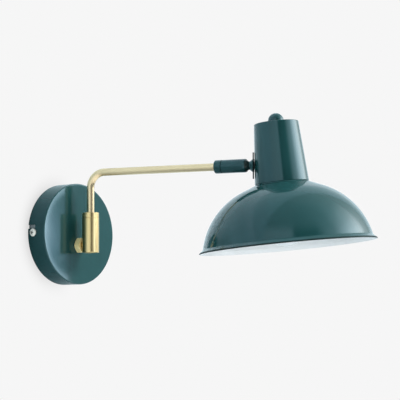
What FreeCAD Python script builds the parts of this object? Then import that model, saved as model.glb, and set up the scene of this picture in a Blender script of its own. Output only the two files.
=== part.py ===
import FreeCAD, Part
import math
import os
import Sketcher

# Articulated wall light, millimetres.
# Origin: centre of the round wall plate on the wall plane (y = 0).
# The light stands out from the wall along -Y, +Z is up.

V = FreeCAD.Vector
Rotation = FreeCAD.Rotation
Placement = FreeCAD.Placement

doc = FreeCAD.newDocument("wall_light")

# ---------------------------------------------------------------- sizes
SIZES = [
    # round wall plate and its fixing
    ("canopy_radius", 60.0),
    ("canopy_depth", 26.0),
    ("canopy_wall", 1.2),
    ("canopy_round", 1.4),
    ("slot_width", 4.6),
    ("slot_rise", 7.0),
    ("slot_depth", 9.0),
    ("bracket_half", 57.8),
    ("bracket_gauge", 2.0),
    ("bracket_width", 20.0),
    ("lug_width", 19.6),
    ("lug_height", 15.0),
    ("fix_spacing", 72.0),
    ("fix_slot_width", 4.5),
    ("fix_slot_length", 12.0),
    ("screw_shank", 2.0),
    ("screw_head", 4.6),
    ("screw_head_high", 2.9),
    ("recess_wide", 1.2),
    ("recess_long", 5.4),
    ("recess_deep", 1.7),
    ("block_long", 24.0),
    ("block_wide", 16.0),
    ("block_high", 12.8),
    ("pole_pitch", 8.0),
    # threaded nipple and nuts
    ("nipple_radius", 5.0),
    ("nipple_bore", 3.4),
    ("nipple_drop", 13.6),
    ("nipple_inner", 19.0),
    ("nipple_outer", 38.2),
    ("nut_flats", 17.0),
    ("nut_high", 7.5),
    ("thin_nut_flats", 14.0),
    ("thin_nut_high", 3.0),
    # upright pivot
    ("pivot_reach", 44.0),
    ("sleeve_radius", 10.0),
    ("sleeve_low", 22.8),
    ("sleeve_seam", 18.2),
    ("sleeve_top", 24.4),
    ("sleeve_bore", 6.6),
    ("chamber_bore", 5.6),
    ("spigot_radius", 8.5),
    # bent arm
    ("tube_radius", 4.4),
    ("tube_bore", 3.4),
    ("tube_foot", 5.0),
    ("arm_rise", 72.1),
    ("bend_radius", 18.0),
    ("arm_reach", 195.0),
    ("arm_yaw", 16.2),
    ("flex_radius", 1.5),
    # ball swivel
    ("joint_radius", 7.75),
    ("cap_back", 35.7),
    ("cap_round", 2.9),
    ("seam_back", 27.0),
    ("seam_gap", 0.3),
    ("swivel_spigot", 5.5),
    ("mouth_ahead", 2.2),
    ("socket_radius", 7.05),
    ("ball_radius", 6.95),
    ("waist_radius", 4.8),
    ("stem_radius", 2.6),
    ("stem_bore", 1.5),
    ("flare_radius", 6.6),
    ("plate_half", 15.2),
    ("plate_round", 3.6),
    ("plate_thick", 1.5),
    ("plate_ahead", 9.3),
    ("seat_radius", 7.5),
    ("stud_end", 20.5),
    ("stud_yaw", 36.3),
    ("skin_ahead", 11.5),
    # neck and finial
    ("neck_top", 25.4),
    ("neck_base", 30.8),
    ("neck_up", 46.4),
    ("neck_down", 22.5),
    ("neck_wall", 1.5),
    ("neck_round", 0.9),
    ("head_lean", 5.05),
    ("finial_radius", 9.1),
    ("finial_skirt", 2.0),
    # dome
    ("dome_wall", 1.0),
    ("dome_hole", 14.3),
    ("crown_radius", 30.3),
    ("shoulder_radius", 31.1),
    ("shoulder_drop", 1.15),
    ("cone_radius", 45.76),
    ("cone_drop", 7.13),
    ("dome_arc", 84.026),
    ("skirt_radius", 96.2),
    ("skirt_drop", 66.2),
    ("lip_edge", 101.0),
    ("lip_drop", 72.0),
    ("lip_thick", 1.3),
    ("lip_round", 0.7),
    # lampholder and bulb
    ("holder_radius", 14.0),
    ("holder_low", 19.0),
    ("holder_high", 20.0),
    ("holder_bore", 7.6),
    ("holder_flange", 17.0),
    ("shade_ring", 19.0),
    ("bulb_radius", 22.5),
    ("bulb_low", 72.3),
    ("bulb_wall", 1.0),
    ("lamp_cap_radius", 6.95),
    ("lamp_cap_low", 20.6),
]

sheet = doc.addObject("Spreadsheet::Sheet", "Dims")
NUMBER = {}
for row, (word, value) in enumerate(SIZES, start=1):
    sheet.set("A%d" % row, word)
    sheet.set("B%d" % row, repr(value))
    sheet.setAlias("B%d" % row, word)
    NUMBER[word] = value
doc.recompute()


class Q:
    """A size: its value, and the sheet expression that drives it."""

    def __init__(self, value, text):
        self.value = value
        self.text = text

    def __add__(self, other):
        o = size(other)
        return Q(self.value + o.value, "(%s + %s)" % (self.text, o.text))

    def __sub__(self, other):
        o = size(other)
        return Q(self.value - o.value, "(%s - %s)" % (self.text, o.text))

    def __mul__(self, other):
        o = size(other)
        return Q(self.value * o.value, "(%s * %s)" % (self.text, o.text))

    def __truediv__(self, other):
        o = size(other)
        return Q(self.value / o.value, "(%s / %s)" % (self.text, o.text))

    def __neg__(self):
        return Q(-self.value, "(0 - %s)" % self.text)

    def __radd__(self, other):
        return size(other) + self

    def __rsub__(self, other):
        return size(other) - self

    def __rmul__(self, other):
        return size(other) * self


def size(x):
    if isinstance(x, Q):
        return x
    x = float(x)
    return Q(x, repr(x) if x >= 0 else "(0 - %r)" % -x)


def dim(word):
    return Q(NUMBER[word], "Dims." + word)


def bind(obj, prop, x):
    q = size(x)
    obj.setExpression(prop, q.text)


# ---------------------------------------------------------------- sketches
def plane(body, role):
    for feature in body.Origin.OriginFeatures:
        if feature.Role == role:
            return feature
    raise RuntimeError("no plane " + role)


def pin(sk, geo, pos, x, y):
    x, y = size(x), size(y)
    if abs(x.value) < 1e-9:
        sk.addConstraint(Sketcher.Constraint("PointOnObject", geo, pos, -2))
    else:
        k = sk.addConstraint(Sketcher.Constraint("DistanceX", -1, 1, geo, pos, x.value))
        sk.setExpression("Constraints[%d]" % k, x.text)
    if abs(y.value) < 1e-9:
        sk.addConstraint(Sketcher.Constraint("PointOnObject", geo, pos, -1))
    else:
        k = sk.addConstraint(Sketcher.Constraint("DistanceY", -1, 1, geo, pos, y.value))
        sk.setExpression("Constraints[%d]" % k, y.text)


def trace(sk, points, closed=True):
    """Lines and arcs through points. A point is (x, y), or (x, y, (radius,
    side)) when the run to the next point is an arc, side +1 turning left."""
    n = len(points)
    at = [(size(p[0]).value, size(p[1]).value) for p in points]
    runs = []
    for i in range(n if closed else n - 1):
        a, b = at[i], at[(i + 1) % n]
        if len(points[i]) == 2:
            g = sk.addGeometry(Part.LineSegment(V(a[0], a[1], 0), V(b[0], b[1], 0)), False)
            runs.append((g, 1, 2, None))
        else:
            radius, side = points[i][2]
            radius = size(radius)
            dx, dy = b[0] - a[0], b[1] - a[1]
            chord = math.hypot(dx, dy)
            off = math.sqrt(max(radius.value ** 2 - chord * chord / 4.0, 0.0))
            cx = (a[0] + b[0]) / 2.0 - side * off * dy / chord
            cy = (a[1] + b[1]) / 2.0 + side * off * dx / chord
            t0 = math.atan2(a[1] - cy, a[0] - cx)
            t1 = math.atan2(b[1] - cy, b[0] - cx)
            first, last = (t0, t1) if side > 0 else (t1, t0)
            if last <= first:
                last += 2.0 * math.pi
            circle = Part.Circle(V(cx, cy, 0), V(0, 0, 1), radius.value)
            g = sk.addGeometry(Part.ArcOfCircle(circle, first, last), False)
            runs.append((g, 1, 2, radius) if side > 0 else (g, 2, 1, radius))
    for i in range(len(runs)):
        if i == len(runs) - 1 and not closed:
            break
        nxt = runs[(i + 1) % len(runs)]
        sk.addConstraint(Sketcher.Constraint("Coincident", runs[i][0], runs[i][2], nxt[0], nxt[1]))
    for i, p in enumerate(points):
        if i < len(runs):
            pin(sk, runs[i][0], runs[i][1], p[0], p[1])
        else:
            pin(sk, runs[-1][0], runs[-1][2], p[0], p[1])
    for g, _, _, radius in runs:
        if radius is not None:
            k = sk.addConstraint(Sketcher.Constraint("Radius", g, radius.value))
            sk.setExpression("Constraints[%d]" % k, radius.text)


def ring(sk, x, y, radius):
    x, y, radius = size(x), size(y), size(radius)
    g = sk.addGeometry(Part.Circle(V(x.value, y.value, 0), V(0, 0, 1), radius.value), False)
    pin(sk, g, 3, x, y)
    k = sk.addConstraint(Sketcher.Constraint("Radius", g, radius.value))
    sk.setExpression("Constraints[%d]" % k, radius.text)


def sketch(body, role, loops=(), circles=(), lift=None, tilt=None):
    sk = body.newObject("Sketcher::SketchObject", body.Name + "_sketch")
    sk.AttachmentSupport = [(plane(body, role), "")]
    sk.MapMode = "FlatFace"
    if lift is not None or tilt is not None:
        turn = tilt if tilt is not None else Rotation()
        sk.AttachmentOffset = Placement(V(0, 0, 0), turn)
        if lift is not None:
            bind(sk, "AttachmentOffset.Base.z", lift)
    for loop in loops:
        trace(sk, loop)
    for x, y, radius in circles:
        ring(sk, x, y, radius)
    return sk


# ---------------------------------------------------------------- features
def new_body(label, place):
    body = doc.addObject("PartDesign::Body", label)
    body.Label = label
    body.Placement = place
    return body


def turned(label, loop, place):
    """A lathe part: a half section turned about the local Z axis."""
    body = new_body(label, place)
    sk = sketch(body, "XZ_Plane", [loop])
    rev = body.newObject("PartDesign::Revolution", label + "_turn")
    rev.Profile = sk
    rev.ReferenceAxis = (sk, ["V_Axis"])
    rev.Angle = 360.0
    doc.recompute()
    return body


def pad(body, loops, circles, length, lift=None, role="XY_Plane"):
    sk = sketch(body, role, loops, circles, lift)
    feature = body.newObject("PartDesign::Pad", body.Name + "_pad")
    feature.Profile = sk
    bind(feature, "Length", length)
    doc.recompute()
    return feature


def pocket(body, role, loops, circles, length, away=False, lift=None, tilt=None):
    before = body.Shape.Volume
    sk = sketch(body, role, loops, circles, lift, tilt)
    feature = body.newObject("PartDesign::Pocket", body.Name + "_cut")
    feature.Profile = sk
    bind(feature, "Length", length)
    feature.Reversed = away
    doc.recompute()
    if body.Shape.Volume > before - 1e-3:
        raise RuntimeError("a cut in %s removes nothing" % body.Label)
    return feature


def groove(body, loop):
    before = body.Shape.Volume
    sk = sketch(body, "XZ_Plane", [loop])
    feature = body.newObject("PartDesign::Groove", body.Name + "_groove")
    feature.Profile = sk
    feature.ReferenceAxis = (sk, ["V_Axis"])
    feature.Angle = 360.0
    doc.recompute()
    if body.Shape.Volume > before - 1e-3:
        raise RuntimeError("a groove in %s removes nothing" % body.Label)
    return feature


def piped(label, place, outer, inner, path):
    """A round tube or wire along straight runs and tangent arcs."""
    body = new_body(label, place)
    circles = [(0, 0, outer)] + ([(0, 0, inner)] if inner is not None else [])
    section = sketch(body, "XY_Plane", (), circles)
    spine = body.newObject("Sketcher::SketchObject", label + "_spine")
    spine.AttachmentSupport = [(plane(body, "XZ_Plane"), "")]
    spine.MapMode = "FlatFace"
    trace(spine, path, closed=False)
    doc.recompute()
    pipe = body.newObject("PartDesign::AdditivePipe", label + "_pipe")
    pipe.Profile = section
    pipe.Spine = (spine, ["Edge%d" % (i + 1) for i in range(len(path) - 1)])
    doc.recompute()
    return body


def group(label, bodies):
    comp = doc.addObject("Part::Compound", label)
    comp.Label = label
    comp.Links = bodies
    return comp


def hexagon(flats):
    corner = flats / math.sqrt(3.0)
    half = math.sqrt(3.0) / 2.0
    return [(corner, 0), (corner * 0.5, corner * half), (corner * -0.5, corner * half),
            (corner * -1.0, 0), (corner * -0.5, corner * -half), (corner * 0.5, corner * -half)]


def hex_nut(label, flats, high, bore, place):
    body = new_body(label, place)
    pad(body, [hexagon(flats)], [(0, 0, bore)], high)
    tip = flats * 0.5 * 0.97
    rim = flats * 0.64
    fall = flats * 0.085
    groove(body, [(tip, high), (rim, high), (rim, high - fall)])
    return body


def screw(label, place, head, head_high, shank, length):
    """Cross-recessed pan head: the head's seat is at local z = 0."""
    crown = head_high * 0.45
    body = turned(label, [
        (0, -length), (shank, -length), (shank, 0), (head, 0),
        (head, head_high - crown), (head - crown, head_high), (0, head_high)], place)
    w, l = dim("recess_wide") * 0.5, dim("recess_long") * 0.5
    cross = [(w, l), (-w, l), (-w, w), (-l, w), (-l, -w), (-w, -w),
             (-w, -l), (w, -l), (w, -w), (l, -w), (l, w), (w, w)]
    pocket(body, "XY_Plane", [cross], (), dim("recess_deep"), lift=head_high)
    return body


# ---------------------------------------------------------------- frames
reach = NUMBER["pivot_reach"]
arm_yaw = math.radians(NUMBER["arm_yaw"])
stud_yaw = math.radians(NUMBER["stud_yaw"])
arm_dir = V(math.sin(arm_yaw), -math.cos(arm_yaw), 0)
stud_dir = V(math.sin(stud_yaw), -math.cos(stud_yaw), 0)
up = V(0, 0, 1)
ball = V(0, -reach, NUMBER["arm_rise"]) + arm_dir * NUMBER["arm_reach"]

neck_high = NUMBER["neck_up"] + NUMBER["neck_down"]
lean_deg = NUMBER["head_lean"]
lean = math.radians(lean_deg)
skin_radius = NUMBER["neck_top"] + (NUMBER["neck_base"] - NUMBER["neck_top"]) * NUMBER["neck_up"] / neck_high
head_axis = up * math.cos(lean) - stud_dir * math.sin(lean)
head_out = stud_dir * math.cos(lean) + up * math.sin(lean)
neck_foot = ball + stud_dir * NUMBER["skin_ahead"] + head_out * skin_radius - head_axis * NUMBER["neck_down"]

wall_turn = Rotation(V(1, 0, 0), 90)                       # local z runs out from the wall
arm_turn = Rotation(up, NUMBER["arm_yaw"] - 90)            # local x runs along the arm
along_arm = arm_turn * Rotation(V(0, 1, 0), 90)            # local z runs along the arm
along_stud = Rotation(up, NUMBER["stud_yaw"] - 90) * Rotation(V(0, 1, 0), 90)
head_turn = Rotation(up, NUMBER["stud_yaw"] - 90) * Rotation(V(0, 1, 0), -lean_deg)

AT_WALL = Placement(V(0, 0, 0), wall_turn)
AT_NIPPLE = Placement(V(0, 0, -NUMBER["nipple_drop"]), wall_turn)
AT_PIVOT = Placement(V(0, -reach, 0), Rotation())
AT_PIVOT_ARM = Placement(V(0, -reach, 0), arm_turn)
AT_BALL_ARM = Placement(ball, along_arm)
AT_BALL_STUD = Placement(ball, along_stud)
AT_HEAD = Placement(neck_foot, head_turn)

nodes = []

# ---------------------------------------------------------------- wall plate
R, D, W, F = dim("canopy_radius"), dim("canopy_depth"), dim("canopy_wall"), dim("canopy_round")
canopy = turned("canopy", [
    (R, 0), (R, D - F, (F, 1)), (R - F, D), (0, D), (0, D - W),
    (R - F, D - W, (F - W, -1)), (R - W, D - F), (R - W, 0)], AT_WALL)
pocket(canopy, "XY_Plane", (), [(0, -dim("nipple_drop"), dim("nipple_radius") + 0.2)], D + 2.0, away=True)
sw, rise, deep = dim("slot_width") * 0.5, dim("slot_rise"), dim("slot_depth")
pocket(canopy, "YZ_Plane", [[
    (rise - sw, -1), (rise + sw, -1), (rise + sw, deep + sw), (0, deep + sw, (sw, 1)),
    (-sw, deep, (sw, 1)), (0, deep - sw), (rise - sw, deep - sw)]], (), R + 5.0)
pocket(canopy, "YZ_Plane", [[
    (sw - rise, -1), (sw - rise, deep - sw), (0, deep - sw, (sw, 1)), (sw, deep, (sw, 1)),
    (0, deep + sw), (-sw - rise, deep + sw), (-sw - rise, -1)]], (), R + 5.0, away=True)
nodes.append(canopy)

half, gauge = dim("bracket_half"), dim("bracket_gauge")
bw, lw = dim("bracket_width") * 0.5, dim("lug_width") * 0.5
fx, fw, fl = dim("fix_spacing") * 0.5, dim("fix_slot_width") * 0.5, dim("fix_slot_length") * 0.5


def fixing_slot(side):
    a, b = fx * side - fl + fw, fx * side + fl - fw
    return [(a, fw, (fw, 1)), (a - fw, 0, (fw, 1)), (a, -fw), (b, -fw, (fw, 1)),
            (b + fw, 0, (fw, 1)), (b, fw)]


bracket = new_body("wall_bracket", AT_WALL)
pad(bracket, [
    [(half, lw), (half - 6.0, bw), (6.0 - half, bw), (-half, lw), (-half, -lw),
     (6.0 - half, -bw), (half - 6.0, -bw), (half, -lw)],
    fixing_slot(1), fixing_slot(-1)], [(22.0, 0, dim("screw_shank") + 0.05)], gauge)
pad(bracket, [[(half - gauge, -lw), (half, -lw), (half, lw), (half - gauge, lw)]], (), dim("lug_height"))
pad(bracket, [[(-half, -lw), (gauge - half, -lw), (gauge - half, lw), (-half, lw)]], (), dim("lug_height"))
pocket(bracket, "YZ_Plane", (), [(0, deep, dim("screw_shank") + 0.05)], half + 5.0)
pocket(bracket, "YZ_Plane", (), [(0, deep, dim("screw_shank") + 0.05)], half + 5.0, away=True)
nodes.append(bracket)

side_screws = []
for word, side in (("left", -1), ("right", 1)):
    turn = Rotation(V(0, 1, 0), 90 * side)
    seat = V(side * (NUMBER["canopy_radius"] + 0.1), -NUMBER["slot_depth"], 0)
    side_screws.append(screw("canopy_screw_" + word, Placement(seat, turn), dim("screw_head"),
                             dim("screw_head_high"), dim("screw_shank"), size(8.5)))
nodes.append(group("canopy_screws", side_screws))

bl, bk, bh = dim("block_long") * 0.5, dim("block_wide"), dim("block_high")
low = size(-3.0)
block = new_body("terminal_block", AT_WALL)
pad(block, [[(bl, low), (bl, low + bk), (-bl, low + bk), (-bl, low)]], (), bh, lift=gauge + 0.1)
pitch = dim("pole_pitch")
poles = [(-pitch, low + bk * 0.62), (0, low + bk * 0.62), (pitch, low + bk * 0.62)]
pocket(block, "XY_Plane", (), [(x, y, 2.3) for x, y in poles], 5.5, lift=gauge + bh + 0.1)
pocket(block, "XZ_Plane", (), [(x, bh * 0.5 + 1.0, 1.8) for x, y in poles], 7.0, lift=3.0, away=False)
nodes.append(block)

pole_screws = []
for k, (x, y) in enumerate(poles):
    x, y = size(x), size(y)
    base = V(x.value, -(NUMBER["bracket_gauge"] + NUMBER["block_high"] - 5.2), y.value)
    body = turned("pole_screw_%d" % (k + 1), [(0, 0), (2.1, 0), (2.1, 3.2), (0, 3.2)], Placement(base, wall_turn))
    pocket(body, "XY_Plane", [[(-2.5, -0.35), (2.5, -0.35), (2.5, 0.35), (-2.5, 0.35)]], (), 1.0, lift=size(3.2))
    pole_screws.append(body)
nodes.append(group("terminal_screws", pole_screws))

nodes.append(screw("earth_screw", Placement(V(22.0, -NUMBER["bracket_gauge"] - 0.05, 0), wall_turn),
                   size(3.9), size(2.4), dim("screw_shank"), gauge - 0.2))

# ---------------------------------------------------------------- nipple and nuts
nr, nb = dim("nipple_radius"), dim("nipple_bore")
ni, no = dim("nipple_inner"), dim("nipple_outer")
nodes.append(turned("threaded_nipple", [
    (nb, ni), (nr - 0.5, ni), (nr, ni + 0.5), (nr, no - 0.5), (nr - 0.5, no), (nb, no)], AT_NIPPLE))
nodes.append(hex_nut("hex_nut", dim("nut_flats"), dim("nut_high"), nr + 0.05,
                     Placement(V(0, -NUMBER["canopy_depth"], -NUMBER["nipple_drop"]), wall_turn)))
inside = NUMBER["canopy_depth"] - NUMBER["canopy_wall"]
nodes.append(turned("lock_washer", [
    (nr + 0.1, 0.05), (8.6, 0.05), (8.6, 0.85), (nr + 0.1, 0.85)],
    Placement(V(0, -inside, -NUMBER["nipple_drop"]), Rotation(V(1, 0, 0), -90))))
nodes.append(hex_nut("nipple_locknut", dim("thin_nut_flats"), dim("thin_nut_high"), nr + 0.05,
                     Placement(V(0, -inside + 0.9, -NUMBER["nipple_drop"]), Rotation(V(1, 0, 0), -90))))

# ---------------------------------------------------------------- upright pivot
sr, sb, cb = dim("sleeve_radius"), dim("sleeve_bore"), dim("chamber_bore")
sl, ss, st, sp = dim("sleeve_low"), dim("sleeve_seam"), dim("sleeve_top"), dim("spigot_radius")
sleeve = turned("pivot_sleeve", [
    (sb, -sl), (sr - 0.5, -sl), (sr, 0.5 - sl), (sr, ss), (sp, ss), (sp, ss + 3.8), (sb, ss + 3.8),
    (sb, -4.0), (cb, -4.0), (cb, 3.5 - sl), (sb, 3.5 - sl)], AT_PIVOT)
pocket(sleeve, "XZ_Plane", (), [(0, -dim("nipple_drop"), nr + 0.05)], sr + 2.0)
nodes.append(sleeve)
nodes.append(turned("sleeve_cap", [
    (sp + 0.05, ss + 0.05), (sr, ss + 0.05), (sr, st - 0.5), (sr - 0.5, st), (dim("tube_radius") + 0.3, st),
    (dim("tube_radius") + 0.3, ss + 4.0), (sp + 0.05, ss + 4.0)], AT_PIVOT))
plug = turned("sleeve_base_plug", [
    (0, 0.4 - sl), (sb - 0.05, 0.4 - sl), (sb - 0.05, 3.4 - sl), (0, 3.4 - sl)], AT_PIVOT)
pocket(plug, "XY_Plane", [[(-4.5, -0.6), (4.5, -0.6), (4.5, 0.6), (-4.5, 0.6)]], (), 1.2, away=True, lift=0.4 - sl)
nodes.append(plug)
fit = dim("tube_radius") + 0.06
nodes.append(turned("lower_bush", [
    (fit, -3.95), (sb - 0.05, -3.95), (sb - 0.05, 4.0), (fit, 4.0)], AT_PIVOT))
nodes.append(turned("friction_washer", [
    (4.7, 4.05), (6.4, 4.05), (6.4, 4.85), (4.7, 4.85)], AT_PIVOT))
nodes.append(turned("wave_spring", [
    (4.7, 9.4), (6.3, 9.4), (6.3, 10.5), (4.7, 10.5)], AT_PIVOT))
nodes.append(turned("upper_bush", [
    (fit, 10.8), (sb - 0.05, 10.8), (sb - 0.05, ss + 3.7), (fit, ss + 3.7)], AT_PIVOT))

# wire from the nipple to the terminal block
fr = dim("flex_radius")
nodes.append(piped("canopy_flex",
                   Placement(V(0, -37.5, -NUMBER["nipple_drop"]), Rotation(up, V(1, 0, 0), V(0, 1, 0), "ZXY")),
                   fr, None, [(0, 0), (0, 24.5, (4.5, -1)), (4.5, 29.0), (10.2, 29.0)]))

# ---------------------------------------------------------------- bent arm
tr, tb, foot = dim("tube_radius"), dim("tube_bore"), dim("tube_foot")
top, bend = dim("arm_rise") + foot, dim("bend_radius")
tube_end = dim("arm_reach") - 29.2
nodes.append(piped("arm_tube", Placement(V(0, -reach, -NUMBER["tube_foot"]), arm_turn), tr, tb, [
    (0, 0), (0, top - bend, (bend, -1)), (bend, top), (tube_end, top)]))
nodes.append(turned("arm_collar", [
    (tr + 0.02, 5.2), (6.2, 5.2), (6.2, 9.0), (tr + 0.02, 9.0)], AT_PIVOT))
drop = size(12.0)
nodes.append(piped("arm_flex", Placement(V(0, -reach, -12.0), arm_turn), fr, None, [
    (0, 0), (0, dim("arm_rise") + drop - bend, (bend, -1)), (bend, dim("arm_rise") + drop),
    (dim("arm_reach") - 14.6, dim("arm_rise") + drop)]))

# ---------------------------------------------------------------- ball swivel
jr, back, seam = dim("joint_radius"), dim("cap_back"), dim("seam_back")
rnd, sg = dim("cap_round"), dim("swivel_spigot")
nodes.append(turned("joint_end_cap", [
    (tr + 0.03, -back), (jr - rnd, -back, (rnd, 1)), (jr, rnd - back), (jr, -seam), (sg, -seam),
    (sg, -18.0), (4.2, -18.0), (4.2, -14.2), (3.2, -14.2), (3.2, -29.0), (tr + 0.03, -29.0)], AT_BALL_ARM))
nodes.append(turned("swivel_retainer", [
    (4.25, -18.0), (6.6, -18.0), (6.6, -15.0), (4.25, -15.0)], AT_BALL_ARM))

mouth, sock = dim("mouth_ahead"), dim("socket_radius")
lip_out = math.sqrt(NUMBER["joint_radius"] ** 2 - NUMBER["mouth_ahead"] ** 2)
lip_in = math.sqrt(NUMBER["socket_radius"] ** 2 - NUMBER["mouth_ahead"] ** 2)
gap = dim("seam_gap")
nodes.append(turned("joint_housing", [
    (sg + 0.07, gap - seam), (jr - 0.3, gap - seam), (jr, gap + 0.3 - seam), (jr, 0, (jr, 1)),
    (lip_out, mouth), (lip_in, mouth, (sock, -1)), (sock, 0), (sock, -18.3), (sg + 0.07, -18.3)], AT_BALL_ARM))
cup = NUMBER["ball_radius"] + 0.06
nodes.append(turned("ball_seat", [
    (3.0, -8.6), (sock - 0.1, -8.6), (sock - 0.1, -2.6), (math.sqrt(cup ** 2 - 2.6 ** 2), -2.6, (cup, -1)),
    (3.0, -math.sqrt(cup ** 2 - 9.0))], AT_BALL_ARM))
springs = []
for k in range(3):
    base = -13.0 + 1.4 * k
    springs.append(turned("disc_spring_%d" % (k + 1), [
        (3.2, base + 0.7), (6.7, base), (6.7, base + 0.6), (3.2, base + 1.3)], AT_BALL_ARM))
nodes.append(group("disc_springs", springs))
nodes.append(turned("thrust_washer", [
    (3.2, -13.9), (6.8, -13.9), (6.8, -13.1), (3.2, -13.1)], AT_BALL_ARM))

br, stem, bore, waist = dim("ball_radius"), dim("stem_radius"), dim("stem_bore"), dim("waist_radius")
ahead, flare = dim("plate_ahead"), dim("flare_radius")
ball_back = -math.sqrt(NUMBER["ball_radius"] ** 2 - NUMBER["stem_bore"] ** 2)
ball_front = math.sqrt(NUMBER["ball_radius"] ** 2 - NUMBER["waist_radius"] ** 2)
nodes.append(turned("ball_stud", [
    (bore, ball_back, (br, 1)), (br, 0, (br, 1)), (waist, ball_front), (waist, 6.3),
    (flare - 0.3, ahead - 0.4), (flare, ahead - 0.2), (flare, ahead), (stem, ahead), (stem, dim("stud_end")),
    (bore, dim("stud_end"))], AT_BALL_STUD))
pr, pe = dim("plate_round"), dim("plate_half") - dim("plate_round")
plate = new_body("mounting_plate", AT_BALL_STUD)
pad(plate, [[(-pe, pr, (pr, 1)), (-pe - pr, 0, (pr, 1)), (-pe, -pr), (pe, -pr, (pr, 1)), (pe + pr, 0, (pr, 1)), (pe, pr)]],
    [(0, 0, stem + 0.03)], dim("plate_thick"), lift=ahead)
nodes.append(plate)
nodes.append(turned("seat_washer", [
    (stem + 0.03, ahead + 1.53), (dim("seat_radius"), ahead + 1.53), (dim("seat_radius"), ahead + 1.92),
    (stem + 0.03, ahead + 1.92)], AT_BALL_STUD))
nodes.append(turned("stud_washer", [
    (stem + 0.03, 14.95), (6.2, 14.95), (6.2, 15.8), (stem + 0.03, 15.8)], AT_BALL_STUD))
nodes.append(hex_nut("stud_nut", size(10.0), size(4.0), stem + 0.03,
                     Placement(ball + stud_dir * 15.85, along_stud)))

# ---------------------------------------------------------------- neck
nt, nbase, nh = dim("neck_top"), dim("neck_base"), dim("neck_up") + dim("neck_down")
nw, nf = dim("neck_wall"), dim("neck_round")
neck = turned("neck", [
    (nbase - nw, 0), (nbase, 0), (nt + nf * 0.0722, nh - nf * 0.9218, (nf, 1)), (nt - nf * 0.9246, nh),
    (5.2, nh), (5.2, nh - nw), (nt - nw, nh - nw)], AT_HEAD)
stud_level = NUMBER["neck_down"] * math.cos(lean) - skin_radius * math.sin(lean)
pocket(neck, "YZ_Plane", (), [(0, stud_level, 4.6)], 40.0, tilt=Rotation(V(1, 0, 0), lean_deg))
nodes.append(neck)
nodes.append(turned("stud_bush", [
    (stem + 0.07, 11.28), (4.55, 11.28), (4.55, 13.9), (5.6, 13.9), (5.6, 14.6), (stem + 0.07, 14.6)], AT_BALL_STUD))
fn, fs = dim("finial_radius"), dim("finial_skirt")
AT_TOP = Placement(neck_foot + head_axis * (neck_high + 0.05), head_turn)
nodes.append(turned("finial_nut", [
    (nr + 0.05, 0), (fn, 0), (fn, fs, (fn, 1)), (0, fn + fs), (0, 7.2), (nr + 0.05, 7.2)], AT_TOP))
rod = turned("hanger_rod", [
    (nb, 27.0), (nr, 27.0), (nr, nh + 6.4), (nr - 0.5, nh + 6.9), (nb, nh + 6.9)], AT_HEAD)
pocket(rod, "YZ_Plane", (), [(0, 50.0, 2.0)], 8.0)
nodes.append(rod)
nodes.append(hex_nut("rod_locknut", size(17.0), size(4.0), nr + 0.05,
                     Placement(neck_foot + head_axis * (neck_high - NUMBER["neck_wall"] - 0.1),
                               head_turn * Rotation(V(1, 0, 0), 180))))
nodes.append(piped("head_flex",
                   Placement(AT_HEAD.multVec(V(-19.4, 0, 21.9)),
                             head_turn * Rotation(V(0, 0, 1), V(0, 1, 0), V(1, 0, 0), "ZXY")),
                   fr, None, [(0, 0), (0, 0.4, (3.5, -1)), (3.5, 3.9), (24.6, 3.9, (3.5, 1)),
                              (28.1, 7.4), (28.1, 15.0)]))

# ---------------------------------------------------------------- dome
dw, hole = dim("dome_wall"), dim("dome_hole")
cr, shr, shd = dim("crown_radius"), dim("shoulder_radius"), dim("shoulder_drop")
cor, cod, arc = dim("cone_radius"), dim("cone_drop"), dim("dome_arc")
skr, skd = dim("skirt_radius"), dim("skirt_drop")
le, ld, lt, lr = dim("lip_edge"), dim("lip_drop"), dim("lip_thick"), dim("lip_round")
slope = math.atan2(NUMBER["cone_drop"] - NUMBER["shoulder_drop"], NUMBER["cone_radius"] - NUMBER["shoulder_radius"])
sx, sy = math.sin(slope), math.cos(slope)
nodes.append(turned("dome", [
    (hole, 0), (cr, 0), (shr, -shd), (cor, -cod, (arc, -1)), (skr, -skd), (skr + 0.45, -skd - 1.7),
    (skr + 1.3, -skd - 2.8), (le, -ld, (lr, -1)), (le - lt * 0.651, -ld - lt * 0.759),
    (skr + 1.3 - lt * 0.651, -skd - 2.8 - lt * 0.759), (skr - 0.45, -skd - 2.5),
    (skr - dw * 0.968, -skd - dw * 0.253, (arc - dw, 1)),
    (cor - dw * sx, -cod - dw * sy), (shr - dw * sx, -shd - dw * sy), (cr - 0.4, -dw), (hole, -dw)], AT_HEAD))

# ---------------------------------------------------------------- lampholder and bulb
hr, hl, hh, hb = dim("holder_radius"), dim("holder_low"), dim("holder_high"), dim("holder_bore")
hf = dim("holder_flange")
nodes.append(turned("lampholder_body", [
    (hb, -hl), (hr - 0.6, -hl), (hr, 0.6 - hl), (hr, 0.1), (hf, 0.1), (hf, 2.1), (hr, 2.1), (hr, hh),
    (11.0, hh), (11.0, 9.2), (2.0, 9.2), (2.0, 7.2), (hb, 7.2)], AT_HEAD))
cap = turned("lampholder_cap", [
    (11.2, hh + 0.1), (13.4, hh + 0.1), (13.4, 26.0), (9.4, 30.5), (nr + 0.05, 30.5), (nr + 0.05, 28.6),
    (8.6, 28.6), (11.2, 25.6)], AT_HEAD)
nodes.append(cap)
nodes.append(turned("shade_ring", [
    (hr + 0.05, -dw - 6.1), (17.4, -dw - 6.1), (dim("shade_ring"), -dw - 4.5), (dim("shade_ring"), -dw - 0.1),
    (hr + 0.05, -dw - 0.1)], AT_HEAD))
nodes.append(turned("holder_thread", [
    (7.2, -15.0), (7.5, -15.0), (7.5, 4.0), (7.2, 4.0)], AT_HEAD))
nodes.append(turned("holder_contact", [
    (0, 5.6), (4.0, 5.6), (4.0, 6.2), (1.9, 6.2), (1.9, 9.6), (0, 9.6)], AT_HEAD))

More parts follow.
